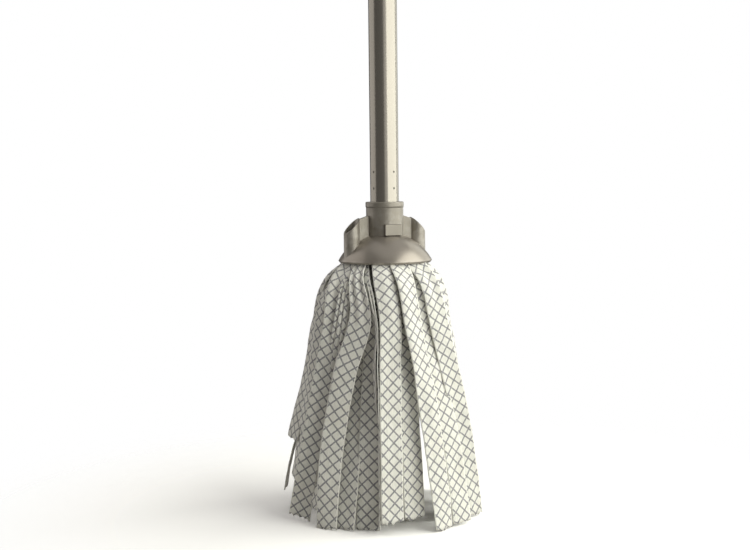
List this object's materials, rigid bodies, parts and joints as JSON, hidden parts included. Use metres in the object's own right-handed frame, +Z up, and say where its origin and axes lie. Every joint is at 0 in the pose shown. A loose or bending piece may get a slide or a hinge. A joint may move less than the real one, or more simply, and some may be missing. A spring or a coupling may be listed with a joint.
{
  "type": "strip mop",
  "caption": "Floor mop: a skirt of flat printed cloth strips clamped in a moulded bell, with a push-button socket and a twist-lock telescopic handle.",
  "frame": {"origin": "on the handle's axis, on the floor that the strips' ends reach", "axes": "+Z up along the handle, the release button faces -Y, the crown's ears are on +X and -X"},
  "size_m": [0.1677, 0.1687, 0.9906],
  "materials": {
    "tube_paint": "satin metallic paint",
    "upper_paint": "satin metallic paint",
    "crown_plastic": "satin, metallic pigment",
    "bell_plastic": "satin, metallic pigment",
    "adapter_plastic": "plain moulded",
    "dark_plastic": "fine moulded grain",
    "lock_plastic": "plain moulded",
    "grip_rubber": "matt",
    "steel": "zinc plated",
    "strip_cloth": "nonwoven cloth with a printed grey lattice"
  },
  "bodies": {
    "mop": {"lower_tube": "tube_paint", "tube_collar": "dark_plastic", "socket_adapter": "adapter_plastic", "button_spring": "steel", "socket_crown": "crown_plastic", "mop_dome": "bell_plastic", "crown_screws": "steel", "clamp_core": "adapter_plastic", "clamp_screw": "steel", "strip_01": "strip_cloth", "strip_02": "strip_cloth", "strip_03": "strip_cloth", "strip_04": "strip_cloth", "strip_05": "strip_cloth", "strip_06": "strip_cloth", "strip_07": "strip_cloth", "strip_08": "strip_cloth", "strip_09": "strip_cloth", "strip_10": "strip_cloth", "strip_11": "strip_cloth", "strip_12": "strip_cloth", "strip_13": "strip_cloth", "strip_14": "strip_cloth", "strip_15": "strip_cloth", "strip_16": "strip_cloth", "strip_17": "strip_cloth", "strip_18": "strip_cloth", "strip_19": "strip_cloth", "strip_20": "strip_cloth", "strip_21": "strip_cloth", "strip_22": "strip_cloth", "strip_23": "strip_cloth", "strip_24": "strip_cloth", "strip_25": "strip_cloth", "strip_26": "strip_cloth", "strip_27": "strip_cloth", "strip_28": "strip_cloth", "strip_29": "strip_cloth", "strip_30": "strip_cloth", "strip_31": "strip_cloth", "strip_32": "strip_cloth", "strip_33": "strip_cloth", "strip_34": "strip_cloth", "strip_35": "strip_cloth", "strip_36": "strip_cloth", "strip_37": "strip_cloth", "strip_38": "strip_cloth"},
    "release_button": {"release_button": "crown_plastic"},
    "lock_shoe": {"lock_shoe": "lock_plastic"},
    "lock_cone": {"lock_cone": "lock_plastic"},
    "upper_pole": {"upper_tube": "upper_paint", "grip_sleeve": "grip_rubber", "hang_cap": "dark_plastic", "lock_spindle": "lock_plastic", "spindle_clip": "steel"}
  },
  "joints": [
    {"name": "button_press", "type": "slide", "parent": "mop", "child": "release_button", "axis": [0, 1, 0], "range_m": [0, 0.0025], "stiffness_N_per_m": 600, "springref_m": -0.003, "deforming": ["button_spring"]},
    {"name": "telescope", "type": "slide", "parent": "mop", "child": "lock_shoe", "axis": [0, 0, 1], "range_m": [0, 0.4]},
    {"name": "lock_twist", "type": "hinge", "parent": "lock_shoe", "child": "upper_pole", "pos_m": [0, 0, 0.36], "axis": [0, 0, 1], "range_deg": [0, 180]},
    {"name": "wedge_travel", "type": "slide", "parent": "lock_shoe", "child": "lock_cone", "axis": [0, 0, -1], "range_m": [0, 0.0015]}
  ],
  "couplings": [
    {"joint": "wedge_travel", "follows": "lock_twist", "m_per_rad": 0.000477}
  ]
}
